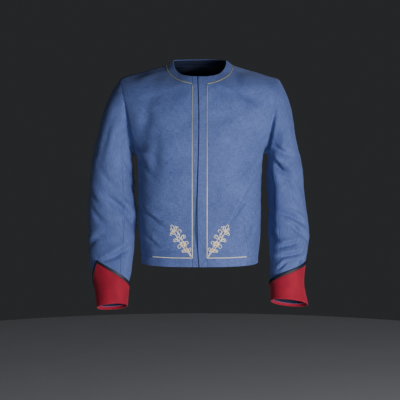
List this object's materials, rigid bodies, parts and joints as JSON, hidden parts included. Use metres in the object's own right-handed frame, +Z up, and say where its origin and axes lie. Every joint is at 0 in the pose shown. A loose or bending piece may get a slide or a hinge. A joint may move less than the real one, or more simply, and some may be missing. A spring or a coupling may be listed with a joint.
{
  "type": "costume jacket",
  "caption": "Waist-length collarless uniform jacket in blue wool, hollow as worn, closed at the front, with gold cord edging and red cuffs under peaked black braid.",
  "frame": {"origin": "where the wearer's shoulders carry the jacket: the middle of the neck, level with the shoulder seams at the neckline", "axes": "+Z up, -Y out of the closed front, +X towards the wearer's left sleeve"},
  "size_m": [0.5985, 0.2422, 0.6775],
  "materials": {
    "blue_wool": "smooth worsted wool twill with a soft sheen",
    "navy_wool": "dark navy wool",
    "red_wool": "matt red wool",
    "black_braid": "flat plaited braid",
    "gold_cord": "twisted pale gold cord"
  },
  "bodies": {
    "root": {"front_panel_right": "blue_wool", "front_panel_left": "blue_wool", "front_band_right": "blue_wool", "front_band_left": "blue_wool", "hem_band_right": "blue_wool", "hem_band_left": "blue_wool", "hem_band_back": "blue_wool", "back_panel": "blue_wool", "neckband": "blue_wool", "top_sleeve_right": "blue_wool", "under_sleeve_right": "blue_wool", "top_sleeve_left": "blue_wool", "under_sleeve_left": "blue_wool", "front_underlap": "navy_wool", "cuff_right": "red_wool", "cuff_left": "red_wool", "cuff_braid_right": "black_braid", "cuff_braid_left": "black_braid", "front_cord_right": "gold_cord", "front_cord_left": "gold_cord", "neck_cord": "gold_cord"}
  },
  "joints": []
}
